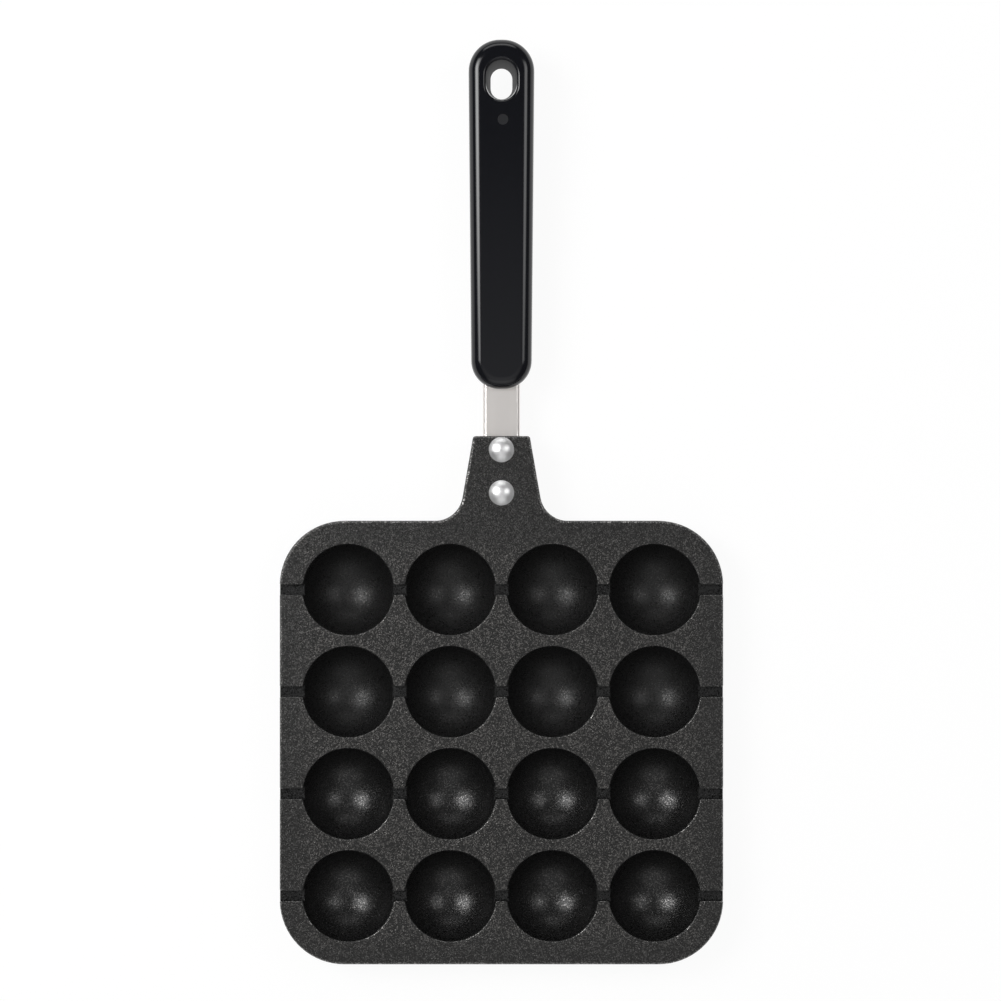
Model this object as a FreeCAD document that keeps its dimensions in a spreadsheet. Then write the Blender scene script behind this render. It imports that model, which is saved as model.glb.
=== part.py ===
import FreeCAD, Part
import math
import os
import re
import Sketcher

# A sixteen-cup takoyaki pan: a cast plate with a neck, a pressed channel bracket held under the neck by
# two rivets, and a moulded grip held on the bracket by one screw with its spring washer.
#
# Frame: +Z up, the handle runs along +Y, X = 0 is the plane of symmetry, and Z = 0 is the plane of the
# cup flats that the pan stands on. The origin lies under the middle of the whole pan's length.
# Millimetres and degrees.

DRIVING = {
    # cooking plate
    "plate_border": 9.35,
    "plate_corner": 26.5,
    "deck_thick": 4.5,
    "skirt_drop": 7.5,
    "skirt_wall": 3.0,
    "top_edge_round": 1.2,
    "skirt_edge_round": 0.8,
    "cup_count": 4,
    "cup_rim": 18.9,
    "cup_web": 4.2,
    "cup_depth": 16.0,
    "cup_floor": 2.8,
    "dome_merge": 0.6,
    "dome_root_round": 1.0,
    "groove_width": 4.3,
    "groove_depth": 2.8,
    "groove_corner": 0.8,
    "lip_round": 0.5,
    # neck
    "neck_end_width": 23.3,
    "neck_root_width": 36.0,
    "neck_thick": 5.0,
    "neck_root_round": 11.5,
    "neck_end_round": 1.2,
    # bracket
    "bracket_width": 15.4,
    "bracket_flange": 7.0,
    "bracket_sheet": 1.2,
    "bracket_bend": 0.4,
    "bracket_edge": 6.7,
    "bracket_kink": 2.0,
    "bracket_tongue": 45.0,
    "strap_show": 19.6,
    "handle_tilt": 3.0,
    "flange_nose": 3.0,
    # rivets
    "rivet_from_end": 5.6,
    "rivet_pitch": 17.75,
    "rivet_to_plate": 11.55,
    "rivet_shank": 5.0,
    "rivet_head": 10.4,
    "rivet_head_rise": 2.2,
    "rivet_tail": 8.0,
    "rivet_tail_drop": 2.2,
    "rivet_tail_round": 0.6,
    "rivet_fit": 0.03,
    # grip
    "grip_length": 142.8,
    "grip_far_width": 27.1,
    "grip_near_width": 24.7,
    "grip_thick": 19.0,
    "grip_taper": 3.0,
    "grip_tip_flat": 0.75,
    "grip_top_round": 4.8,
    "grip_bottom_round": 5.5,
    "socket_fit": 0.15,
    "hang_land": 1.05,
    "hang_stretch": 3.6,
    "hang_tip_wall": 8.5,
    "hang_draft": 7.0,
    "hang_round": 1.2,
    "ejector_mark": 4.8,
    "ejector_depth": 0.15,
    "ejector_gap": 7.7,
    "ejector_aside": 0.6,
    # screw and washer
    "screw_inset": 22.0,
    "screw_thread": 4.0,
    "screw_head": 7.6,
    "screw_head_thick": 2.2,
    "screw_head_round": 0.6,
    "screw_fit": 0.03,
    "screw_hole_room": 0.3,
    "screw_short": 0.1,
    "screw_seat_wall": 2.0,
    "counterbore_room": 0.8,
    "collar_wall": 1.3,
    "collar_drop": 1.8,
    "recess_span": 4.4,
    "recess_slot": 1.0,
    "recess_depth": 1.2,
    "washer_outer": 7.0,
    "washer_thick": 0.9,
    "washer_room": 0.15,
    "washer_slit": 0.8,
}

DERIVED = {
    # cooking plate, from the cups outwards
    "cup_pitch": "2 * cup_rim + cup_web",
    "cup_field": "cup_pitch * (cup_count - 1)",
    "first_cup": "-cup_field / 2",
    "plate_side": "cup_field + 2 * cup_rim + 2 * plate_border",
    "plate_top": "cup_depth + cup_floor",
    "deck_under": "plate_top - deck_thick",
    "skirt_bottom": "deck_under - skirt_drop",
    "skirt_inside": "plate_side - 2 * skirt_wall",
    "cup_sphere": "(cup_rim ^ 2 + cup_depth ^ 2) / (2 * cup_depth)",
    "cup_centre": "cup_floor + cup_sphere",
    "dome_widest": "cup_pitch / 2 + dome_merge",
    "dome_sphere": "sqrt(dome_widest ^ 2 + (cup_centre - deck_under) ^ 2)",
    "dome_flat": "sqrt(dome_sphere ^ 2 - cup_centre ^ 2)",
    "dome_sunk": "deck_under + deck_thick / 2",
    "dome_reach": "sqrt(dome_sphere ^ 2 - (cup_centre - dome_sunk) ^ 2)",
    "groove_floor": "plate_top - groove_depth",
    # neck, rivets and bracket
    "inner_rivet": "rivet_from_end + rivet_pitch",
    "neck_length": "inner_rivet + rivet_to_plate",
    "neck_end": "plate_side / 2 + neck_length",
    "neck_root": "plate_side / 2 - skirt_wall / 2",
    "web_top": "plate_top - neck_thick",
    "rivet_hole": "rivet_shank + 2 * rivet_fit",
    "bracket_reach": "inner_rivet + bracket_edge",
    "channel_inside": "bracket_width - 2 * bracket_sheet",
    # handle, along the bracket from its kink
    "grip_start": "strap_show - bracket_kink",
    "grip_end": "grip_start + grip_length",
    "grip_top": "(grip_thick - bracket_flange) / 2",
    "grip_bottom": "grip_top - grip_thick",
    "tongue_end": "grip_start + bracket_tongue",
    "socket_floor": "-bracket_flange - socket_fit",
    "hang_width": "grip_far_width - 2 * (grip_top_round + hang_round + hang_land)",
    "hang_length": "hang_width + hang_stretch",
    "hang_place": "grip_end - hang_tip_wall - hang_length / 2",
    "ejector_place": "hang_place - hang_length / 2 - ejector_gap",
    "screw_place": "grip_start + screw_inset",
    "screw_seat": "socket_floor - screw_seat_wall",
    "screw_neck": "screw_seat - washer_thick",
    "screw_under": "screw_neck - screw_head_thick",
    "screw_hole": "screw_thread + 2 * screw_fit",
    # places in the pan's own frame
    "pan_length": "plate_side + neck_length + bracket_kink + grip_end * cos(handle_tilt)",
    "plate_place": "(plate_side - pan_length) / 2",
    "neck_end_place": "plate_place + neck_end",
    "kink_place": "neck_end_place + bracket_kink",
}

# How far each rivet stands back from the end of the neck.
RIVETS = {
    "outer_neck_rivet": "rivet_from_end",
    "inner_neck_rivet": "inner_rivet",
}

doc = FreeCAD.newDocument("takoyaki_pan")
sizes = doc.addObject("Spreadsheet::Sheet", "Sizes")
places = doc.addObject("Spreadsheet::Sheet", "Places")


def cell(expression):
    """Write each size's name in the expression as the cell that holds it."""

    def reference(match):
        name = match[0]
        if name in DRIVING:
            return "Sizes." + name
        return "Places." + name if name in DERIVED else name

    return re.sub(r"[a-z_]+", reference, expression)


def fill(sheet, contents):
    for row, (name, content) in enumerate(contents.items(), start=1):
        sheet.set(f"A{row}", name.replace("_", " "))
        sheet.set(f"B{row}", str(content))
        sheet.setAlias(f"B{row}", name)


fill(sizes, DRIVING)
fill(places, {name: "=" + cell(formula) for name, formula in DERIVED.items()})
doc.recompute()


def value(expression):
    """The number that an expression of sizes has now."""
    return float(sizes.evalExpression(cell(expression)))


def bind(thing, setting, expression):
    thing.setExpression(setting, cell(expression))


# Sketches


def origin_part(body, role):
    return next(f for f in body.Origin.OriginFeatures if f.Role == role)


def new_body(name):
    body = doc.addObject("PartDesign::Body", name)
    body.Label = name
    return body


def new_sketch(body, name, role, lift=None):
    sketch = body.newObject("Sketcher::SketchObject", name)
    sketch.AttachmentSupport = [(origin_part(body, role), "")]
    sketch.MapMode = "FlatFace"
    if lift:
        bind(sketch, "AttachmentOffset.Base.z", lift)
    return sketch


def fix_point(sketch, geometry, point, x, y):
    """Tie a point to the sketch's origin by two distances that follow the sheet."""
    for kind, expression, axis in (("DistanceX", x, -2), ("DistanceY", y, -1)):
        if expression == "0":
            sketch.addConstraint(Sketcher.Constraint("PointOnObject", geometry, point, axis))
            continue
        index = sketch.addConstraint(
            Sketcher.Constraint(kind, -1, 1, geometry, point, value(expression))
        )
        bind(sketch, f"Constraints[{index}]", expression)


def arc_about_axis(start, end):
    """An arc between two points whose centre is on the vertical axis, and whether it runs backwards."""
    height = (end.x**2 + end.y**2 - start.x**2 - start.y**2) / (2 * (end.y - start.y))
    centre = FreeCAD.Vector(0, height, 0)
    circle = Part.Circle(centre, FreeCAD.Vector(0, 0, 1), (start - centre).Length)
    first = circle.parameter(start)
    last = circle.parameter(end)
    backwards = (last - first) % (2 * math.pi) > math.pi
    return Part.ArcOfCircle(circle, *((last, first) if backwards else (first, last))), backwards


def outline(sketch, corners, arcs=()):
    """Draw a closed outline. Each corner is two expressions; sides listed in arcs bulge about the axis."""
    points = [FreeCAD.Vector(value(x), value(y), 0) for x, y in corners]
    ends = []
    for side, start in enumerate(points):
        end = points[(side + 1) % len(points)]
        if side in arcs:
            arc, backwards = arc_about_axis(start, end)
            sketch.addGeometry(arc)
            sketch.addConstraint(Sketcher.Constraint("PointOnObject", side, 3, -2))
            ends.append((2, 1) if backwards else (1, 2))
        else:
            sketch.addGeometry(Part.LineSegment(start, end))
            ends.append((1, 2))
    for side, (x, y) in enumerate(corners):
        before = side - 1 if side else len(corners) - 1
        sketch.addConstraint(
            Sketcher.Constraint("Coincident", before, ends[before][1], side, ends[side][0])
        )
        fix_point(sketch, side, ends[side][0], x, y)
    return sketch


def circles(sketch, items):
    """Draw circles, each given by its centre's two expressions and its diameter."""
    for index, (x, y, diameter) in enumerate(items):
        centre = FreeCAD.Vector(value(x), value(y), 0)
        radius = value(diameter) / 2
        sketch.addGeometry(Part.Circle(centre, FreeCAD.Vector(0, 0, 1), radius))
        fix_point(sketch, index, 3, x, y)
        number = sketch.addConstraint(Sketcher.Constraint("Diameter", index, 2 * radius))
        bind(sketch, f"Constraints[{number}]", diameter)
    return sketch


def box_outline(width, low, high):
    """The corners of a rectangle centred on the sketch's vertical axis."""
    left = f"-({width}) / 2"
    right = f"({width}) / 2"
    return [(left, low), (right, low), (right, high), (left, high)]


# Features


def finish(body, feature):
    """Make the feature the body's tip and check that it was made."""
    body.Tip = feature
    doc.recompute()
    if "Invalid" in feature.State or "Error" in feature.State or feature.Shape.isNull():
        raise RuntimeError(f"{body.Name}.{feature.Name} failed: {feature.State}")
    return feature


def pad(body, name, sketch, length, midplane=False, reverse=False):
    feature = body.newObject("PartDesign::Pad", name)
    feature.Profile = sketch
    bind(feature, "Length", length)
    feature.Midplane = midplane
    feature.Reversed = reverse
    return finish(body, feature)


def pocket(body, name, sketch, length, midplane=False, reverse=False):
    feature = body.newObject("PartDesign::Pocket", name)
    feature.Profile = sketch
    bind(feature, "Length", length)
    feature.Midplane = midplane
    feature.Reversed = reverse
    return finish(body, feature)


def revolve(body, name, sketch):
    feature = body.newObject("PartDesign::Revolution", name)
    feature.Profile = sketch
    feature.ReferenceAxis = (sketch, ["V_Axis"])
    feature.Angle = 360
    return finish(body, feature)


def grid(body, name, original, across=True):
    """Repeat a feature over the cup field, along Y and, where across is true, along X too."""
    feature = body.newObject("PartDesign::LinearPattern", name)
    feature.Originals = [original]
    feature.Direction = (origin_part(body, "Y_Axis"), [""])
    bind(feature, "Length", "cup_field")
    bind(feature, "Occurrences", "cup_count")
    if across:
        feature.Direction2 = (origin_part(body, "X_Axis"), [""])
        bind(feature, "Length2", "cup_field")
        bind(feature, "Occurrences2", "cup_count")
    return finish(body, feature)


def fillet(body, name, radius, wanted):
    """Round every edge of the body's tip for which wanted(edge) is true."""
    tip = body.Tip
    names = [f"Edge{i}" for i, edge in enumerate(tip.Shape.Edges, start=1) if wanted(edge)]
    feature = body.newObject("PartDesign::Fillet", name)
    feature.Base = (tip, names)
    bind(feature, "Radius", radius)
    return finish(body, feature)


# How close two places or lengths are when they count as the same.
SAME = 0.01


def near(one, other):
    return abs(one - other) < SAME


def middle(edge):
    return edge.valueAt((edge.FirstParameter + edge.LastParameter) / 2)


def span(edge):
    return edge.Vertexes[-1].Point - edge.Vertexes[0].Point


def is_vertical(edge):
    run = span(edge)
    return run.Length > SAME and near(abs(run.z), run.Length)


# Cooking plate


def make_plate():
    body = new_body("cooking_plate")
    bind(body, "Placement.Base.y", "plate_place")
    cast_plate(body)
    round_plate(body)
    cast_cups(body)
    cut_grooves(body)
    round_lips(body)
    holes = new_sketch(body, "rivet_places", "XY_Plane", "plate_top")
    circles(holes, [("0", f"neck_end - {back}", "rivet_hole") for back in RIVETS.values()])
    pocket(body, "rivet_holes", holes, "neck_thick")
    return body


def cast_plate(body):
    """The plate with its skirt, and the neck that tapers away from it."""
    square = box_outline("plate_side", "-plate_side / 2", "plate_side / 2")
    block = outline(new_sketch(body, "plate_square", "XY_Plane", "skirt_bottom"), square)
    pad(body, "plate_block", block, "plate_top - skirt_bottom")

    hollow = box_outline("skirt_inside", "-skirt_inside / 2", "skirt_inside / 2")
    cavity = outline(new_sketch(body, "skirt_square", "XY_Plane", "skirt_bottom"), hollow)
    pocket(body, "underside", cavity, "skirt_drop", reverse=True)

    tongue = [
        ("-neck_root_width / 2", "neck_root"),
        ("neck_root_width / 2", "neck_root"),
        ("neck_end_width / 2", "neck_end"),
        ("-neck_end_width / 2", "neck_end"),
    ]
    neck = outline(new_sketch(body, "neck_shape", "XY_Plane", "web_top"), tongue)
    pad(body, "neck", neck, "neck_thick")


def round_plate(body):
    """Round the upright corners first, then the edges that run round the top and the skirt."""
    side = value("plate_side / 2")
    wall = value("skirt_inside / 2")
    end = value("neck_end")
    top = value("plate_top")
    bottom = value("skirt_bottom")

    def corners_of(size):
        def wanted(edge):
            at = middle(edge)
            return is_vertical(edge) and near(abs(at.x), size) and near(abs(at.y), size)

        return wanted

    def neck_root(edge):
        at = middle(edge)
        return is_vertical(edge) and near(at.y, side) and not near(abs(at.x), side)

    def neck_end(edge):
        return is_vertical(edge) and near(middle(edge).y, end)

    fillet(body, "skirt_corners", "plate_corner - skirt_wall", corners_of(wall))
    fillet(body, "plate_corners", "plate_corner", corners_of(side))
    fillet(body, "neck_roots", "neck_root_round", neck_root)
    fillet(body, "neck_end_corners", "neck_end_round", neck_end)
    fillet(body, "top_edge", "top_edge_round", lambda edge: near(middle(edge).z, top))
    fillet(body, "skirt_edge", "skirt_edge_round", lambda edge: near(middle(edge).z, bottom))


def cast_cups(body):
    """A round dome under each cup, flat where it stands, and then the cup itself."""
    half_dome = [("0", "0"), ("dome_flat", "0"), ("dome_reach", "dome_sunk"), ("0", "dome_sunk")]
    profile = outline(new_sketch(body, "dome_half", "XZ_Plane"), half_dome, arcs=[1])
    bind(profile, "AttachmentOffset.Base.x", "first_cup")
    bind(profile, "AttachmentOffset.Base.z", "-first_cup")
    dome = revolve(body, "dome", profile)
    grid(body, "domes", dome)

    wall = value("skirt_inside / 2")
    under = value("deck_under")
    first = value("first_cup")
    pitch = value("cup_pitch")

    def between_cups(place):
        return near((place - first) % pitch, pitch / 2)

    def dome_root(edge):
        """Whether the edge is where a dome meets the deck or the dome next to it."""
        at = middle(edge)
        inside = max(abs(at.x), abs(at.y)) < wall - SAME and at.z < under + SAME
        return inside and (near(at.z, under) or between_cups(at.x) or between_cups(at.y))

    fillet(body, "dome_roots", "dome_root_round", dome_root)

    cup = body.newObject("PartDesign::SubtractiveSphere", "cup")
    cup.AttachmentSupport = [(origin_part(body, "XY_Plane"), "")]
    cup.MapMode = "FlatFace"
    bind(cup, "Radius", "cup_sphere")
    bind(cup, "AttachmentOffset.Base.x", "first_cup")
    bind(cup, "AttachmentOffset.Base.y", "first_cup")
    bind(cup, "AttachmentOffset.Base.z", "cup_centre")
    finish(body, cup)
    grid(body, "cups", cup)


def cut_grooves(body):
    """The straight grooves that join the cups of a row and run out at both sides of the plate."""
    low = "first_cup - groove_width / 2"
    high = "first_cup + groove_width / 2"
    above = "plate_top + groove_depth"
    corners = [(low, "groove_floor"), (high, "groove_floor"), (high, above), (low, above)]
    section = outline(new_sketch(body, "groove_section", "YZ_Plane"), corners)
    groove = pocket(body, "groove", section, "2 * plate_side", midplane=True)
    grid(body, "grooves", groove, across=False)


def round_lips(body):
    """Round where the grooves meet the cups, and then every edge of the cups and grooves at the top."""
    floor = value("groove_floor")
    top = value("plate_top")
    flat = value("plate_side / 2 - top_edge_round")
    turn = value("plate_side / 2 - plate_corner")

    def groove_corner(edge):
        heights = sorted(vertex.Point.z for vertex in edge.Vertexes)
        return len(heights) == 2 and near(heights[0], floor) and near(heights[1], top)

    def on_border(at):
        """Whether a place is on the line where the flat top meets its rounded outer edge."""
        across = abs(at.x) - turn
        along = abs(at.y) - turn
        at_corner = min(across, along) > 0 and near(math.hypot(across, along), flat - turn)
        return at_corner or max(abs(at.x), abs(at.y)) > flat - SAME

    def lip(edge):
        at = middle(edge)
        return near(at.z, top) and not on_border(at)

    fillet(body, "groove_corners", "groove_corner", groove_corner)
    fillet(body, "lips", "lip_round", lip)


# Bracket


def channel_side(back, forward, upper, lower):
    """The side view of a band of the kinked bracket, between two depths below its web's top face."""

    def level(depth, along):
        return (along, f"-{depth}" if depth != "0" else "0")

    def bend(depth):
        return level(depth, f"bracket_kink + {depth} * tan(handle_tilt / 2)")

    def end(depth):
        along = f"{forward} * cos(handle_tilt) + {depth} * sin(handle_tilt)"
        height = f"{forward} * sin(handle_tilt) - {depth} * cos(handle_tilt)"
        return (f"bracket_kink + {along}", height)

    start = f"-{back}"
    return [level(upper, start), bend(upper), end(upper), end(lower), bend(lower), level(lower, start)]


def make_bracket():
    body = new_body("handle_bracket")
    bind(body, "Placement.Base.y", "neck_end_place")
    bind(body, "Placement.Base.z", "web_top")

    side = channel_side("bracket_reach", "tongue_end", "0", "bracket_flange")
    solid = outline(new_sketch(body, "bracket_side", "YZ_Plane"), side)
    pad(body, "bracket_bar", solid, "bracket_width", midplane=True)

    inside = channel_side(
        "(bracket_reach + bracket_sheet)",
        "(tongue_end + bracket_sheet)",
        "bracket_sheet",
        "(bracket_flange + bracket_sheet)",
    )
    hollow = outline(new_sketch(body, "channel_side", "YZ_Plane"), inside)
    pocket(body, "channel", hollow, "channel_inside", midplane=True)

    slope = value("tan(handle_tilt)")

    def bend(width, depth):
        """Picks the long edges at half a width from the middle, at a depth below the web's top face."""
        aside = value(f"{width} / 2")
        kink = value(f"bracket_kink + {depth} * tan(handle_tilt / 2)")

        def wanted(edge):
            at = middle(edge)
            height = max(at.y - kink, 0) * slope - value(depth)
            return abs(span(edge).y) > SAME and near(abs(at.x), aside) and near(at.z, height)

        return wanted

    fillet(body, "outer_bends", "bracket_bend + bracket_sheet", bend("bracket_width", "0"))
    fillet(body, "inner_bends", "bracket_bend", bend("channel_inside", "bracket_sheet"))

    start = value("-bracket_reach")
    low = value("-bracket_flange")

    def nose(edge):
        return near(middle(edge).y, start) and near(middle(edge).z, low)

    fillet(body, "flange_noses", "flange_nose", nose)

    holes = new_sketch(body, "rivet_places", "XY_Plane")
    circles(holes, [("0", f"-{back}", "rivet_hole") for back in RIVETS.values()])
    pocket(body, "rivet_holes", holes, "bracket_sheet")

    ring = tilted_sketch(body, "collar_ring", "-bracket_sheet")
    circles(ring, [("0", "screw_place", "screw_hole + 2 * collar_wall")])
    pad(body, "collar", ring, "collar_drop", reverse=True)
    hole = tilted_sketch(body, "tapped_ring", "0")
    circles(hole, [("0", "screw_place", "screw_hole")])
    pocket(body, "tapped_hole", hole, "bracket_sheet + collar_drop")
    return body


def tilted_sketch(body, name, lift):
    """A sketch in the bracket's frame that lies along the handle, at a height above the web."""
    sketch = new_sketch(body, name, "XY_Plane")
    sketch.AttachmentOffset = tilt_about_x()
    bind(sketch, "AttachmentOffset.Rotation.Angle", "handle_tilt")
    bind(sketch, "AttachmentOffset.Base.y", f"bracket_kink - ({lift}) * sin(handle_tilt)")
    bind(sketch, "AttachmentOffset.Base.z", f"({lift}) * cos(handle_tilt)")
    return sketch


def tilt_about_x():
    along_x = FreeCAD.Vector(1, 0, 0)
    return FreeCAD.Placement(FreeCAD.Vector(), FreeCAD.Rotation(along_x, value("handle_tilt")))


def new_handle_body(name):
    """A body whose own frame starts at the bracket's kink and runs along the handle."""
    body = new_body(name)
    body.Placement = tilt_about_x()
    bind(body, "Placement.Rotation.Angle", "handle_tilt")
    bind(body, "Placement.Base.y", "kink_place")
    bind(body, "Placement.Base.z", "web_top")
    return body


# Rivets


def make_rivet(name, back):
    body = new_body(name)
    bind(body, "Placement.Base.y", f"neck_end_place - {back}")
    bind(body, "Placement.Base.z", "plate_top")
    foot = "-neck_thick - bracket_sheet"
    end = f"{foot} - rivet_tail_drop"
    profile = [
        ("rivet_head / 2", "0"),
        ("0", "rivet_head_rise"),
        ("0", end),
        ("rivet_tail / 2", end),
        ("rivet_tail / 2", foot),
        ("rivet_shank / 2", foot),
        ("rivet_shank / 2", "0"),
    ]
    sketch = outline(new_sketch(body, "rivet_half", "XZ_Plane"), profile, arcs=[0])
    revolve(body, "rivet", sketch)
    low = value(end)
    fillet(body, "tail_edge", "rivet_tail_round", lambda edge: near(middle(edge).z, low))
    return body


# Grip


def make_grip():
    body = new_handle_body("handle_grip")
    mould_grip(body)
    pierce_hanging_hole(body)

    mark = new_sketch(body, "ejector_ring", "XY_Plane", "grip_top")
    circles(mark, [("ejector_aside", "ejector_place", "ejector_mark")])
    pocket(body, "ejector_dimple", mark, "ejector_depth")

    mouth = new_sketch(body, "socket_mouth", "XZ_Plane", "-grip_start")
    outline(mouth, box_outline("bracket_width + 2 * socket_fit", "socket_floor", "socket_fit"))
    pocket(body, "socket", mouth, "bracket_tongue + socket_fit")

    entry = new_sketch(body, "screw_entry", "XY_Plane", "grip_bottom")
    circles(entry, [("0", "screw_place", "screw_thread + 2 * screw_hole_room")])
    pocket(body, "screw_hole", entry, "socket_floor - grip_bottom", reverse=True)
    bore = new_sketch(body, "counterbore_ring", "XY_Plane", "grip_bottom")
    circles(bore, [("0", "screw_place", "screw_head + 2 * counterbore_room")])
    pocket(body, "counterbore", bore, "screw_seat - grip_bottom", reverse=True)
    return body


def mould_grip(body):
    """The grip's outside: wider and thinner at its far end, with a flat top and rounded edges."""
    plan = [
        ("-grip_near_width / 2", "grip_start"),
        ("grip_near_width / 2", "grip_start"),
        ("grip_far_width / 2", "grip_end"),
        ("-grip_far_width / 2", "grip_end"),
    ]
    shape = outline(new_sketch(body, "grip_plan", "XY_Plane", "grip_bottom"), plan)
    pad(body, "grip_block", shape, "grip_thick")
    wedge = [
        ("grip_start", "grip_bottom"),
        ("grip_end", "grip_bottom"),
        ("grip_end", "grip_bottom + grip_taper"),
    ]
    under = outline(new_sketch(body, "grip_wedge", "YZ_Plane"), wedge)
    pocket(body, "underside_taper", under, "grip_near_width + grip_far_width", midplane=True)

    start = value("grip_start")
    end = value("grip_end")
    top = value("grip_top")
    half_way = value("(grip_top + grip_bottom) / 2")

    def near_corner(edge):
        return is_vertical(edge) and near(middle(edge).y, start)

    def far_corner(edge):
        return is_vertical(edge) and near(middle(edge).y, end)

    def under_edge(edge):
        return middle(edge).z < half_way and not is_vertical(edge)

    fillet(body, "near_corners", "grip_near_width / 2 - grip_tip_flat", near_corner)
    fillet(body, "far_corners", "grip_far_width / 2 - grip_tip_flat", far_corner)
    fillet(body, "top_edge", "grip_top_round", lambda edge: near(middle(edge).z, top))
    fillet(body, "bottom_edge", "grip_bottom_round", under_edge)


def pierce_hanging_hole(body):
    """The drafted oval hole near the far end, with its rounded rim."""
    oval = new_sketch(body, "hanging_oval", "XY_Plane", "grip_top")
    slot(oval, "hang_place", "hang_width", "hang_length")
    hole = body.newObject("PartDesign::Pocket", "hanging_hole")
    hole.Profile = oval
    bind(hole, "Length", "grip_thick")
    bind(hole, "TaperAngle", "-hang_draft")
    finish(body, hole)
    top = value("grip_top")
    place = value("hang_place")
    reach = value("hang_length / 2")

    def rim(edge):
        at = middle(edge)
        return near(at.z, top) and abs(at.y - place) < reach + SAME

    fillet(body, "hanging_rim", "hang_round", rim)


def slot(sketch, y, width, length):
    """Draw a slot with round ends along the sketch's vertical axis, centred at height y."""
    radius = value(width) / 2
    normal = FreeCAD.Vector(0, 0, 1)
    ends = [f"{y} + ({length} - {width}) / 2", f"{y} - ({length} - {width}) / 2"]
    centres = [FreeCAD.Vector(0, value(end), 0) for end in ends]
    for number, centre in enumerate(centres):
        circle = Part.Circle(centre, normal, radius)
        sketch.addGeometry(Part.ArcOfCircle(circle, number * math.pi, (number + 1) * math.pi))
    side = FreeCAD.Vector(radius, 0, 0)
    sketch.addGeometry(Part.LineSegment(centres[1] + side, centres[0] + side))
    sketch.addGeometry(Part.LineSegment(centres[0] - side, centres[1] - side))
    for one, one_end, other, other_end in ((2, 2, 0, 1), (0, 2, 3, 1), (3, 2, 1, 1), (1, 2, 2, 1)):
        sketch.addConstraint(Sketcher.Constraint("Tangent", one, one_end, other, other_end))
    sketch.addConstraint(Sketcher.Constraint("Equal", 0, 1))
    for number, end in enumerate(ends):
        fix_point(sketch, number, 3, "0", end)
    index = sketch.addConstraint(Sketcher.Constraint("Radius", 0, radius))
    bind(sketch, f"Constraints[{index}]", f"{width} / 2")


# Screw and washer


def make_screw():
    body = new_handle_body("grip_screw")
    disc = new_sketch(body, "head_ring", "XY_Plane", "screw_under")
    circles(disc, [("0", "screw_place", "screw_head")])
    pad(body, "head", disc, "screw_head_thick")
    low = value("screw_under")
    fillet(body, "head_edge", "screw_head_round", lambda edge: near(middle(edge).z, low))
    rod = new_sketch(body, "shank_ring", "XY_Plane", "screw_neck")
    circles(rod, [("0", "screw_place", "screw_thread")])
    pad(body, "shank", rod, "-screw_neck - screw_short")

    cross = new_sketch(body, "recess_cross", "XY_Plane", "screw_under")
    recess = outline(cross, cross_corners("recess_span / 2", "recess_slot / 2", "screw_place"))
    pocket(body, "recess", recess, "recess_depth", reverse=True)
    return body


def cross_corners(arm, rib, y):
    """The twelve corners of a plus sign centred at height y on the sketch's vertical axis."""
    rounds = [
        (arm, rib), (rib, rib), (rib, arm), (f"-{rib}", arm), (f"-{rib}", rib), (f"-{arm}", rib),
        (f"-{arm}", f"-{rib}"), (f"-{rib}", f"-{rib}"), (f"-{rib}", f"-{arm}"), (rib, f"-{arm}"),
        (rib, f"-{rib}"), (arm, f"-{rib}"),
    ]
    return [(across, f"{y} + ({along})") for across, along in rounds]


def make_washer():
    body = new_handle_body("lock_washer")
    rings = new_sketch(body, "washer_rings", "XY_Plane", "screw_neck")
    bore = "screw_thread + 2 * washer_room"
    circles(rings, [("0", "screw_place", "washer_outer"), ("0", "screw_place", bore)])
    pad(body, "washer", rings, "washer_thick")
    gap = new_sketch(body, "slit_shape", "XY_Plane", "screw_neck")
    outline(gap, box_outline("washer_slit", "screw_place", "screw_place + washer_outer"))
    pocket(body, "slit", gap, "washer_thick", reverse=True)
    return body


bodies = [make_plate(), make_bracket()]
bodies += [make_rivet(name, back) for name, back in RIVETS.items()]
bodies += [make_grip(), make_screw(), make_washer()]
doc.recompute()

for item in doc.Objects:
    if "Invalid" in item.State or "Error" in item.State:
        raise RuntimeError(f"{item.Name} is {item.State}")
for body in bodies:
    if body.Shape.isNull() or not body.Shape.isValid() or len(body.Shape.Solids) != 1:
        raise RuntimeError(f"{body.Name} is not one valid solid")

os.makedirs("parts", exist_ok=True)
for body in bodies:
    body.Shape.exportStep(f"parts/{body.Label}.step")
    box = body.Shape.BoundBox
    print(f"{body.Label}: {body.Shape.Volume:.1f} mm3, z {box.ZMin:.2f} to {box.ZMax:.2f}")
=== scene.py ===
# %% [markdown]
# # Dressing a sixteen-cup takoyaki pan
# A takoyaki pan is one aluminium casting: a square deck with round cups, a neck and a skirt. A
# pressed steel bracket is riveted under the neck, and a moulded black grip slides over it and is
# held by a screw. The measured shapes come ready made from the pan's solid model. What is left is
# what makes them look real: the grainy coating, the satin sheet, the bright rivets, the polished
# grip and a studio round them.

import math

import bmesh
import bpy
from mathutils import Matrix, Vector


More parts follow.
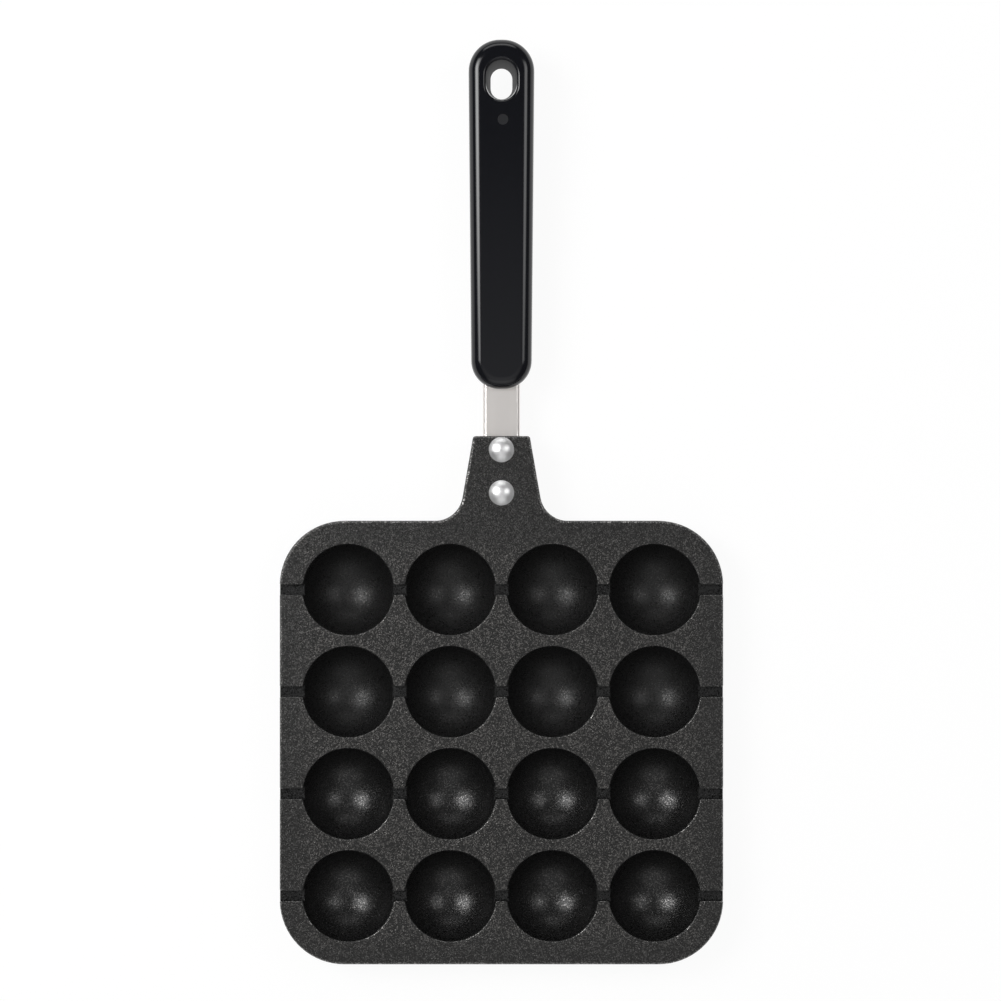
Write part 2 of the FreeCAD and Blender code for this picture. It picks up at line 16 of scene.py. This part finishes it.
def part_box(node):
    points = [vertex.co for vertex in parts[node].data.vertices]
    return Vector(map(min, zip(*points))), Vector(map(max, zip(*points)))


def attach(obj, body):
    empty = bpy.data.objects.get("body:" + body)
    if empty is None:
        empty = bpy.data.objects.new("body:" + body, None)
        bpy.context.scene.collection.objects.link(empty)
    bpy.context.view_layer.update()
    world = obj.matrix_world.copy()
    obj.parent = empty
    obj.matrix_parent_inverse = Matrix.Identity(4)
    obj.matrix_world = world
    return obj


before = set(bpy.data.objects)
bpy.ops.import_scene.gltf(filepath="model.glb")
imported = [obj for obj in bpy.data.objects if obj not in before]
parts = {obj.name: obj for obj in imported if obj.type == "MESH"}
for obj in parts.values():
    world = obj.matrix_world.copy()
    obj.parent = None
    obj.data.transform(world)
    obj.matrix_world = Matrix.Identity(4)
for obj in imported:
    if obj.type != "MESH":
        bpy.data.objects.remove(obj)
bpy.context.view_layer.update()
print("parts:", ", ".join(sorted(parts)))

# %% [markdown]
# ## Two small helpers for nodes
# Lamps, rooms and materials are all graphs of nodes. In the editor each node is added and wired by
# hand. Here one helper fills a node's inputs, with a wire wherever an input is given a socket, and
# the other adds a node, sets its options and fills it.


# %% Add and wire nodes
def fill(tree, node, inputs):
    """Give each input, by its number or name, a value or a wire from a socket."""
    for key, given in inputs.items():
        if isinstance(given, bpy.types.NodeSocket):
            tree.links.new(given, node.inputs[key])
        else:
            node.inputs[key].default_value = given


def add(tree, kind, inputs=None, **settings):
    """Add a node of some kind, set its options and fill its inputs."""
    made = tree.nodes.new("ShaderNode" + kind)
    for name, setting in settings.items():
        setattr(made, name, setting)
    fill(tree, made, inputs or {})
    return made


print("helpers: fill, add")

# %% [markdown]
# ## The camera
# The pan is seen from straight above, with the handle up the page. An orthographic camera would
# show no upright wall at all and look flat. So this is a lens that is long for its frame, about a
# metre up: the cup walls hardly lean and the grip keeps its true length.

# %% Camera above the pan
DECK_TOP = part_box("cooking_plate")[1].z
FRAME_WIDTH = 0.41155
FRAME_MIDDLE = (-0.0004, 0.0011)
STAND_OFF = 1.05
SENSOR_WIDTH = 36.0

lens = bpy.data.cameras.new("studio_camera")
lens.sensor_width = SENSOR_WIDTH
lens.lens = SENSOR_WIDTH * STAND_OFF / FRAME_WIDTH
lens.dof.use_dof = False
camera = bpy.data.objects.new("studio_camera", lens)
camera.location = (*FRAME_MIDDLE, DECK_TOP + STAND_OFF)
bpy.context.scene.collection.objects.link(camera)
bpy.context.scene.camera = camera
bpy.context.scene.view_settings.view_transform = "Standard"
print(f"lens {lens.lens:.1f} mm, {camera.location.z:.3f} m up")

# %% [markdown]
# ## How a soft box fades
# A cloth-fronted box is brightest in its middle, so its mirror image on a glossy thing has no hard
# edge. An area lamp is even all over, unless its own nodes dim it. Parametric says how far across
# and how far up the lamp's face a point is, from 0 to 1, and a power of the distance from the
# middle says where the fall begins.


# %% Fade a lamp towards its rim
def calc(tree, operation, *values):
    """The result of one Math node. Each value is a number or a socket."""
    return add(tree, "Math", dict(enumerate(values)), operation=operation).outputs[0]


def fade_to_rim(light, radiance, evenness):
    """Dim a lamp from its middle to its four sides. A high evenness keeps the fall near them."""
    light.use_nodes = True
    tree = light.node_tree
    face = add(tree, "SeparateXYZ", {0: add(tree, "NewGeometry").outputs["Parametric"]})
    left = []
    for side in ("X", "Y"):
        # Parametric is 0.5 in the middle, so twice the distance from there is 1 at the rim.
        off_middle = calc(tree, "ABSOLUTE", calc(tree, "SUBTRACT", face.outputs[side], 0.5))
        lost = calc(tree, "POWER", calc(tree, "MULTIPLY", off_middle, 2.0), evenness)
        left.append(calc(tree, "SUBTRACT", 1.0, lost))
    glow = calc(tree, "MULTIPLY", calc(tree, "MULTIPLY", *left), radiance)
    fill(tree, tree.nodes["Emission"], {"Strength": glow})


print("helpers: calc, fade_to_rim")

# %% [markdown]
# ## The studio
# Dark glossy things are lit by what they mirror. A strong soft box stands on the left and a weaker
# one on the right. A dim panel hangs overhead, a low strip beyond the handle edges the lips with
# light, and a dim near panel opens up the dark far sides of the cups. An area lamp's strength is
# spread over its face. With pi times the face's area as its strength, a glow of 1 in its nodes
# looks as bright as white, so each lamp below is given by how bright the middle of its face looks.

# %% Soft boxes and panels
LOOK_AT = Vector((0.0, -0.04, 0.02))

# Each lamp's place, width, height, radiance and evenness.
LAMPS = {
    "left_box": ((-0.70, 0.29, 1.00), 0.72, 0.84, 10.0, 2.0),
    "right_box": ((0.70, 0.24, 1.05), 0.66, 0.72, 2.9, 3.0),
    "overhead_panel": ((0.0, -0.54, 1.13), 1.50, 1.65, 0.50, 2.0),
    "far_strip": ((-0.10, 1.18, 0.52), 1.30, 0.46, 1.9, 6.0),
    "near_panel": ((0.0, -1.05, 0.70), 1.50, 0.90, 0.50, 4.0),
}

for name, (place, width, height, radiance, evenness) in LAMPS.items():
    light = bpy.data.lights.new(name, "AREA")
    light.shape = "RECTANGLE"
    light.size = width
    light.size_y = height
    light.energy = math.pi * width * height
    fade_to_rim(light, radiance, evenness)
    lamp = bpy.data.objects.new(name, light)
    lamp.location = place
    lamp.rotation_euler = (LOOK_AT - Vector(place)).to_track_quat("-Z", "Y").to_euler()
    lamp.visible_camera = False
    bpy.context.scene.collection.objects.link(lamp)
print("lamps:", ", ".join(LAMPS))

# %% [markdown]
# ## The room
# A studio is pale near its floor and dim higher up. A world that runs from white at the horizon to
# grey above it does for both, and the steep sides of the grip and the rivets mirror where it
# changes. Generated on a world is a direction, and its Z says how steeply that looks up.

# %% The room round the pan
PALE_BELOW = 0.02
GREY_ABOVE = 0.12
ROOM_WHITE = 1.0
ROOM_GREY = 0.13


def ramp(tree, value, start, end, low=0.0, high=1.0, shape="LINEAR"):
    """A number that runs from low to high while the value runs from start to end."""
    given = {0: value, 1: start, 2: end, 3: low, 4: high}
    return add(tree, "MapRange", given, interpolation_type=shape).outputs[0]


room = bpy.data.worlds.new("studio_room")
room.use_nodes = True
bpy.context.scene.world = room
tree = room.node_tree
steep = add(tree, "SeparateXYZ", {0: add(tree, "TexCoord").outputs["Generated"]}).outputs["Z"]
pale = ramp(tree, steep, PALE_BELOW, GREY_ABOVE, ROOM_WHITE, ROOM_GREY, shape="SMOOTHSTEP")
fill(tree, tree.nodes["Background"], {"Color": (1.0, 1.0, 1.0, 1.0), "Strength": pale})
print("room pale to", PALE_BELOW, "and grey from", GREY_ABOVE)

# %% [markdown]
# ## The floor
# A plain pale sheet, a hair below the pan. A matt surface alone would turn grey where the lamps
# fade. So most of what the eye and the mirrors see of it is an even white, and the rest is a matt
# surface that takes the lamps' light, so a soft shadow still sits under the pan.

# %% Sheet on the floor
FLOOR_REACH = 4.0
FLOOR_DROP = -0.0002

sheet = bmesh.new()
bmesh.ops.create_grid(sheet, x_segments=1, y_segments=1, size=FLOOR_REACH)
bmesh.ops.translate(sheet, verts=sheet.verts, vec=(0.0, 0.0, FLOOR_DROP))
mesh = bpy.data.meshes.new("studio_floor")
sheet.to_mesh(mesh)
sheet.free()
floor = bpy.data.objects.new("studio_floor", mesh)
bpy.context.scene.collection.objects.link(floor)
print("floor", round(floor.dimensions.x, 1), "m wide")

# %% [markdown]
# ## The floor's paper
# A Light Path node tells the rays of the eye, of mirrors and of glass from the ones that only carry
# light. For the first kind, most of the matt paper is swapped for a plain white glow.

# %% Paper on the floor
PAPER = (0.93, 0.93, 0.93, 1.0)
FLOOR_EVEN = 0.90
FLOOR_WHITE = 1.03


def new_material(name):
    """A new material, its graph and its Principled shader."""
    material = bpy.data.materials.new(name)
    material.use_nodes = True
    return material, material.node_tree, material.node_tree.nodes["Principled BSDF"]


paper, tree, matt = new_material("floor_paper")
fill(tree, matt, {"Base Color": PAPER, "Roughness": 0.9, "Specular IOR Level": 0.0})
ray = add(tree, "LightPath").outputs
seen = calc(tree, "MAXIMUM", ray["Is Camera Ray"], ray["Is Glossy Ray"])
seen = calc(tree, "MAXIMUM", seen, ray["Is Transmission Ray"])
share = calc(tree, "MULTIPLY", seen, FLOOR_EVEN)
even = add(tree, "Emission", {"Color": (1.0, 1.0, 1.0, 1.0), "Strength": FLOOR_WHITE})
blend = add(tree, "MixShader", {0: share, 1: matt.outputs[0], 2: even.outputs[0]})
fill(tree, tree.nodes["Material Output"], {"Surface": blend.outputs[0]})
floor.data.materials.append(paper)
print("floor:", paper.name)

# %% [markdown]
# ## Grain, shared by most finishes
# Sprayed coatings, struck rivets and moulded plastic all have a fine relief, and some show small
# flakes that differ from their neighbours. A group makes both: soft noise gives the height, and a
# Voronoi pattern, which cuts space into cells, gives every flake numbers of its own. A power keeps
# the bright flakes few. Each of these finishes uses the group with its own size.

# %% Grain group
FLAKE_RARITY = 2.5


def mix(tree, amount, low, high):
    """One number where the amount is 0 and the other where it is 1."""
    return add(tree, "Mix", {0: amount, 2: low, 3: high}, data_type="FLOAT").outputs[0]


def new_group(name, takes, gives):
    """A node group, the sockets that it is given and the node that hands its results out."""
    group = bpy.data.node_groups.new(name, "ShaderNodeTree")
    for socket, kind in takes.items():
        group.interface.new_socket(socket, in_out="INPUT", socket_type="NodeSocket" + kind)
    for socket in gives:
        group.interface.new_socket(socket, in_out="OUTPUT", socket_type="NodeSocketFloat")
    given = group.nodes.new("NodeGroupInput").outputs
    return group, given, group.nodes.new("NodeGroupOutput")


fine_grain, given, results = new_group(
    "fine_grain",
    takes={"Vector": "Vector", "Scale": "Float", "Flake Share": "Float"},
    gives=("Height", "Flakes", "Shine"),
)
pattern = {"Vector": given["Vector"], "Scale": given["Scale"]}
soft = add(fine_grain, "TexNoise", {**pattern, "Detail": 1.0, "Roughness": 0.5}).outputs[0]
cells = add(fine_grain, "TexVoronoi", pattern)
own = add(fine_grain, "SeparateColor", {0: cells.outputs["Color"]}).outputs
high = mix(fine_grain, given["Flake Share"], soft, own["Red"])
bright = calc(fine_grain, "POWER", own["Green"], FLAKE_RARITY)
fill(fine_grain, results, {"Height": high, "Flakes": bright, "Shine": own["Blue"]})
print("group:", fine_grain.name)

# %% [markdown]
# ## Streaks, for rolled metal
# Sheet keeps faint lines from the rolls that pressed it. Noise that is stretched along one
# direction gives them, and a Mapping node in the material says which way they run. A second noise,
# many times wider, gives the cloudy patches between them.

# %% Streak group
CLOUD_SCALE = 0.06

rolled_streaks, given, results = new_group(
    "rolled_streaks",
    takes={"Vector": "Vector", "Scale": "Float"},
    gives=("Streaks", "Clouds"),
)
pattern = {"Vector": given["Vector"], "Scale": given["Scale"]}
lines = add(rolled_streaks, "TexNoise", {**pattern, "Detail": 3.0, "Roughness": 0.65}).outputs[0]
pattern["Scale"] = calc(rolled_streaks, "MULTIPLY", given["Scale"], CLOUD_SCALE)
clouds = add(rolled_streaks, "TexNoise", {**pattern, "Detail": 2.0, "Roughness": 0.5}).outputs[0]
fill(rolled_streaks, results, {"Streaks": lines, "Clouds": clouds})
print("group:", rolled_streaks.name)

# %% [markdown]
# ## Helpers for finishes
# A finish is mostly a few values that wander between two ends: a colour, a roughness, a height. One
# short helper makes each kind, so that every finish below reads like its description. The patterns
# sit on Object coordinates, which are the surface's own place in metres. They stay put however the
# pan is turned or looked at, and a grain's size can be given for the real thing.


# %% Helpers for finishes
def places(tree):
    """The surface's own place, in metres."""
    return add(tree, "TexCoord").outputs["Object"]


def grain_on(tree, here, scale, flake_share):
    """The fine grain's height, flakes and shine, with about this many grains to a metre."""
    inputs = {"Vector": here, "Scale": scale, "Flake Share": flake_share}
    return add(tree, "Group", inputs, node_tree=fine_grain).outputs


def between(tree, amount, low, high):
    """A number that runs from low to high as the amount runs from 0 to 1."""
    return ramp(tree, amount, 0.0, 1.0, low, high)


def tint(tree, amount, low, high):
    """One colour where the amount is 0 and the other where it is 1: sockets or three numbers."""
    ends = [end if isinstance(end, bpy.types.NodeSocket) else (*end, 1.0) for end in (low, high)]
    return add(tree, "Mix", {0: amount, 6: ends[0], 7: ends[1]}, data_type="RGBA").outputs[2]


def relief(tree, height, strength, depth):
    """A bump from a height that runs from 0 to 1, and how deep that is in metres."""
    return add(tree, "Bump", {"Strength": strength, "Distance": depth, "Height": height}).outputs[0]


def dress(material, *names):
    """Give a finish to solid parts."""
    for name in names:
        parts[name].material_slots[0].material = material
    print(f"{', '.join(names)}: {material.name}")


print("helpers: places, grain_on, between, tint, relief, dress")

# %% [markdown]
# ## Where the coating's tone differs, with painted light and shade
# The casting is blasted, then sprayed with a dark coating that holds fine flakes. Its tone is set
# apart by place. It is palest on the deck between the cups and darker along the border. The cups
# are painted darker still, as painted shade from their walls, and the groove floors darkest, as
# painted shade in the grooves. The rounded lips are painted lighter, as a painted highlight where
# they catch the light. The two rows far from the handle are smoother, and their flakes are painted
# brighter, as a painted highlight. Masks for this could be painted by hand, but it all follows from
# the place on the pan. So each mask is read from the height, from the distance to the plate's
# middle or from that to the handle, and fits exactly. The plate's box gives those places. The
# neck is in the box too, so the square's middle lies half a side from the box's near end.

# %% Masks for the deck, the lips' painted highlight, the border and the rows
plate_low, plate_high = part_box("cooking_plate")
HALF_SIDE = plate_high.x
PLATE_MIDDLE = plate_low.y + HALF_SIDE
LIP_HEIGHT = 0.0005
DECK_EDGE = (DECK_TOP - 0.00012, DECK_TOP - 0.00002)
LIP_FOOT = (DECK_TOP - LIP_HEIGHT - 0.0002, DECK_TOP - LIP_HEIGHT)
BORDER = (HALF_SIDE - 0.01525, HALF_SIDE - 0.00525)
GLOSSY_HIGHLIGHT_ROWS = (PLATE_MIDDLE + 0.01354, PLATE_MIDDLE - 0.01646)

coating, tree, shader = new_material("flake_coating")
here = places(tree)
x, y, z = add(tree, "SeparateXYZ", {0: here}).outputs
deck = ramp(tree, z, *DECK_EDGE)
# Painted highlight: the mask gives the rounded lips a lighter tone for the light they catch.
lip_highlight = calc(tree, "SUBTRACT", ramp(tree, z, *LIP_FOOT), deck)
# The far rows are made smoother, and their cup flakes are painted brighter as a painted highlight.
glossy_highlight_rows = ramp(tree, y, *GLOSSY_HIGHLIGHT_ROWS)
across = calc(tree, "ABSOLUTE", x)
along = calc(tree, "ABSOLUTE", calc(tree, "SUBTRACT", y, PLATE_MIDDLE))
border = ramp(tree, calc(tree, "MAXIMUM", across, along), *BORDER)
print("masks: deck, lip, glossy, border")

# %% [markdown]
# ## A mask for the painted shade in the grooves
# A groove runs along the middle of each of the four rows. Its floor could be told by its height
# alone, but a ring in every cup wall and a line round the skirt have that height too. So the mask
# also needs the distance to the nearest row: ping-pong folds the distance from the plate's middle
# back and forth, half a pitch at a time, which makes it 0 on every row.

# %% Mask for the painted shade on the groove floors
CUP_PITCH = 0.042
GROOVE_WIDTH = 0.0043
GROOVE_DEPTH = 0.0028
FLOOR_SLACK = 0.0003
SIDE_SLACK = 0.00005

at_floor = calc(tree, "COMPARE", z, DECK_TOP - GROOVE_DEPTH, FLOOR_SLACK)
off_row = calc(tree, "SUBTRACT", along, CUP_PITCH / 2)
off_row = calc(tree, "PINGPONG", off_row, CUP_PITCH / 2)
inside_it = calc(tree, "LESS_THAN", off_row, GROOVE_WIDTH / 2 + SIDE_SLACK)
# Painted shade: the mask gives the groove floors the darkest tone.
groove_shade = calc(tree, "MULTIPLY", at_floor, inside_it)
print(f"mask: groove, {GROOVE_WIDTH * 1000:.1f} mm wide")

# %% [markdown]
# ## The coating
# Up close the coating is two things: a nearly black plastic, and flakes in it that shine like
# metal. A lamp shows in each cup as a soft, grainy patch, which is the flakes catching it. One even
# colour with one roughness would show a smooth patch instead. So the flakes get their own colour,
# metalness and shine, the masks choose their tone, and the grain's height bends the light.

# %% Coating on the cooking plate
FLAKE_EDGE = (0.40, 0.55)
# Painted shade: the cups and all faces under the deck's top get darker flakes than the deck.
SHADED_CUP_FLAKES = (0.046, 0.045, 0.044)
# Painted highlight: brighter flakes for the far rows' cups, though still darker than the deck.
GLOSSY_CUP_SHADE_AND_HIGHLIGHT_FLAKES = (0.084, 0.082, 0.081)
DECK_FLAKES = (0.148, 0.143, 0.138)
BORDER_FLAKES = (0.104, 0.102, 0.100)
# Painted highlight: the lips' lighter flakes and plastic stand in for light on their rounding.
LIP_HIGHLIGHT_FLAKES = (0.380, 0.372, 0.365)
# Painted shade: this darker plastic is on all faces under the deck's top and on the groove floors.
SHADED_PLASTIC = (0.010, 0.010, 0.010)
DECK_PLASTIC = (0.0145, 0.0141, 0.0136)
LIP_HIGHLIGHT_PLASTIC = (0.050, 0.050, 0.049)
DULL = (0.16, 0.60)
SMOOTH = (0.08, 0.36)

grain = grain_on(tree, here, scale=2600.0, flake_share=0.25)
flake = ramp(tree, grain["Flakes"], *FLAKE_EDGE)
shaded_cups = tint(tree, glossy_highlight_rows, SHADED_CUP_FLAKES, GLOSSY_CUP_SHADE_AND_HIGHLIGHT_FLAKES)
on_deck = tint(tree, border, DECK_FLAKES, BORDER_FLAKES)
flakes = tint(tree, deck, shaded_cups, on_deck)
flakes = tint(tree, lip_highlight, flakes, LIP_HIGHLIGHT_FLAKES)
# Painted shade on the groove floors.
flakes = tint(tree, groove_shade, flakes, SHADED_PLASTIC)
plastic = tint(tree, deck, SHADED_PLASTIC, DECK_PLASTIC)
plastic = tint(tree, lip_highlight, plastic, LIP_HIGHLIGHT_PLASTIC)
dull = between(tree, grain["Shine"], *DULL)
smooth = between(tree, grain["Shine"], *SMOOTH)
looks = {
    "Base Color": tint(tree, flake, plastic, flakes),
    "Metallic": flake,
    "Roughness": mix(tree, glossy_highlight_rows, dull, smooth),
    "Specular IOR Level": 0.35,
    "Normal": relief(tree, grain["Height"], strength=1.0, depth=0.00010),
}
fill(tree, shader, looks)
dress(coating, "cooking_plate")

# %% [markdown]
# ## Satin sheet steel
# The bracket is stainless sheet as it comes off the rolls, neither polished nor brushed. Its face
# is a soft, warm grey with hardly visible lines along its length. Deep streaks would look brushed,
# so their relief is faint and they mostly change the roughness.

# %% Satin steel on the bracket
ALONG_THE_ROLLS = (1.0, 0.03, 1.0)
SHEET_COLOURS = ((0.87, 0.833, 0.806), (0.93, 0.892, 0.863))
SATIN = (0.32, 0.42)

sheet_steel, tree, shader = new_material("satin_sheet")
stretched = add(tree, "Mapping", {"Vector": places(tree), "Scale": ALONG_THE_ROLLS}).outputs[0]
pattern = {"Vector": stretched, "Scale": 2600.0}
rolled = add(tree, "Group", pattern, node_tree=rolled_streaks).outputs
looks = {
    "Base Color": tint(tree, rolled["Clouds"], *SHEET_COLOURS),
    "Metallic": 1.0,
    "Roughness": between(tree, rolled["Streaks"], *SATIN),
    "Normal": relief(tree, rolled["Streaks"], strength=0.04, depth=0.00002),
}
fill(tree, shader, looks)
dress(sheet_steel, "handle_bracket")

# %% [markdown]
# ## Rivets
# Solid aluminium rivets, set by a polished snap. The heads are bright and a little uneven where the
# metal flowed. A perfect dome would mirror each lamp as one neat spot, so a low, wide grain bends
# the reflections slightly.

# %% Bright aluminium on the rivets
RIVET_COLOURS = ((0.96, 0.96, 0.96), (0.90, 0.90, 0.905))
SNAPPED = (0.36, 0.44)

rivet_metal, tree, shader = new_material("snapped_rivet")
grain = grain_on(tree, places(tree), scale=500.0, flake_share=0.0)
looks = {
    "Base Color": tint(tree, grain["Height"], *RIVET_COLOURS),
    "Metallic": 1.0,
    "Roughness": between(tree, grain["Height"], *SNAPPED),
    "Normal": relief(tree, grain["Height"], strength=0.2, depth=0.0001),
}
fill(tree, shader, looks)
dress(rivet_metal, "outer_neck_rivet", "inner_neck_rivet")

# %% [markdown]
# ## The grip
# Black phenolic comes out of a polished mould with a skin like lacquer. Two places are dull: the
# round mark where a pin pushed the moulding out, and the wall of the hanging hole, which the polish
# doesn't reach. Both could be materials of their own, but they share the colour and the grain, so
# two masks raise the roughness instead. The mark's is a distance from its middle, and the hole's is
# the same in a plane that is squeezed until the long hole is round. Both are measured from the tip.

# %% Polished phenolic on the grip
BLACK = (0.0025, 0.0029, 0.0053, 1.0)
POLISHED = (0.09, 0.14)
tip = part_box("handle_grip")[1]
PIN_MARK = (0.0006, tip.y - 0.03331, tip.z - 0.001455)
PIN_RADIUS = 0.0024
PIN_EDGE = (PIN_RADIUS, PIN_RADIUS * 0.85)
PIN_ROUGHNESS = 0.40
HOLE = (0.0, tip.y - 0.01643, 0.0)
HOLE_SQUEEZE = (1 / 0.0067, 1 / 0.0085, 0.0)
HOLE_EDGE = (1.03, 0.97)
WALL_ROUGHNESS = 0.60

phenolic, tree, shader = new_material("polished_phenolic")
here = places(tree)
grain = grain_on(tree, here, scale=260.0, flake_share=0.0)
rough = between(tree, grain["Height"], *POLISHED)
from_pin = add(tree, "VectorMath", {0: here, 1: PIN_MARK}, operation="DISTANCE").outputs["Value"]
rough = mix(tree, ramp(tree, from_pin, *PIN_EDGE), rough, PIN_ROUGHNESS)
offset = add(tree, "VectorMath", {0: here, 1: HOLE}, operation="SUBTRACT").outputs[0]
round_hole = {0: offset, 1: HOLE_SQUEEZE}
squeezed = add(tree, "VectorMath", round_hole, operation="MULTIPLY").outputs[0]
from_hole = add(tree, "VectorMath", {0: squeezed}, operation="LENGTH").outputs["Value"]
looks = {
    "Base Color": BLACK,
    "Roughness": mix(tree, ramp(tree, from_hole, *HOLE_EDGE), rough, WALL_ROUGHNESS),
    "Specular IOR Level": 0.5,
    "Normal": relief(tree, grain["Height"], strength=0.1, depth=0.00004),
}
fill(tree, shader, looks)
dress(phenolic, "handle_grip")

# %% [markdown]
# ## Screw and washer
# Both are steel with a bright, slightly blue zinc plate, which grows in small crystals. At most the
# screw's head shows, up the hole under the grip, so a tone for each crystal is enough.

# %% Zinc plate on the screw and its washer
ZINC_COLOURS = ((0.58, 0.60, 0.64), (0.68, 0.70, 0.72))
PLATED = (0.22, 0.4)

zinc, tree, shader = new_material("zinc_plate")
grain = grain_on(tree, places(tree), scale=1800.0, flake_share=0.3)
looks = {
    "Base Color": tint(tree, grain["Flakes"], *ZINC_COLOURS),
    "Metallic": 1.0,
    "Roughness": between(tree, grain["Height"], *PLATED),
}
fill(tree, shader, looks)
dress(zinc, "grip_screw", "lock_washer")

# %% [markdown]
# ## The seam round the grip
# The two halves of the mould meet half way up the grip and leave a hair of plastic along the join.
# A swept curve would have to repeat the grip's outline by hand. Instead a copy of the grip is cut
# by the plane of the join, and only the outlines in that plane are kept, so they fit exactly. The
# handle rises from a kink in the bracket, just past the neck and level with its underside. The
# plane lies a little under the kink and rises with the handle.

# %% Outlines where the mould joins
NECK_THICKNESS = 0.005
NECK_TO_KINK = 0.002
KINK = Vector((0.0, plate_high.y + NECK_TO_KINK, DECK_TOP - NECK_THICKNESS))
RISE = math.radians(3.0)
SEAM_DEPTH = 0.003
SEAM_WIDTH = 0.00026
TOUCHING = 0.000001

up = Matrix.Rotation(RISE, 4, "X") @ Vector((0.0, 0.0, 1.0))
seam = bmesh.new()
seam.from_mesh(parts["handle_grip"].data)
bmesh.ops.remove_doubles(seam, verts=seam.verts, dist=TOUCHING)
bmesh.ops.bisect_plane(
    seam,
    geom=seam.verts[:] + seam.edges[:] + seam.faces[:],
    dist=TOUCHING,
    plane_co=KINK - up * (SEAM_DEPTH + SEAM_WIDTH / 2),
    plane_no=up,
    clear_inner=True,
    clear_outer=True,
)
print("seam outlines:", len(seam.verts), "points")

# %% [markdown]
# ## Only the outer outline
# The same plane cuts the socket and the hanging hole, which have no seam to show. Every closed
# outline is followed from point to point, and all but the widest are deleted.


# %% Keep the outer outline
def loops(shape):
    """The separate closed outlines, each as a list of its points."""
    left = set(shape.verts)
    found = []
    while left:
        reached = [left.pop()]
        for point in reached:
            for edge in point.link_edges:
                other = edge.other_vert(point)
                if other in left:
                    left.remove(other)
                    reached.append(other)
        found.append(reached)
    return found


outlines = sorted(loops(seam), key=lambda points: max(abs(p.co.x) for p in points))
inside = [point for points in outlines[:-1] for point in points]
bmesh.ops.delete(seam, geom=inside, context="VERTS")
print("outlines:", len(outlines), "of which one is kept, with", len(seam.verts), "points")

# %% [markdown]
# ## From an outline to a seam
# The outline is pulled up into a narrow band, and solidify gives the band a thickness. It is less
# than a tenth of a millimetre proud, as a trimmed seam is, and catches the light as one thin line.

# %% Mould seam
SEAM_PROUD = 0.00007

band = bmesh.ops.extrude_edge_only(seam, edges=seam.edges[:])["geom"]
pulled = [made for made in band if isinstance(made, bmesh.types.BMVert)]
bmesh.ops.translate(seam, verts=pulled, vec=up * SEAM_WIDTH)
bmesh.ops.recalc_face_normals(seam, faces=seam.faces[:])
bmesh.ops.solidify(seam, geom=seam.faces[:], thickness=-SEAM_PROUD)
bmesh.ops.recalc_face_normals(seam, faces=seam.faces[:])
mesh = bpy.data.meshes.new("grip_seam")
seam.to_mesh(mesh)
seam.free()
mesh.materials.append(phenolic)
grip_seam = bpy.data.objects.new("grip_seam", mesh)
bpy.context.scene.collection.objects.link(grip_seam)
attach(grip_seam, "root")
print("seam band:", len(mesh.polygons), "faces")
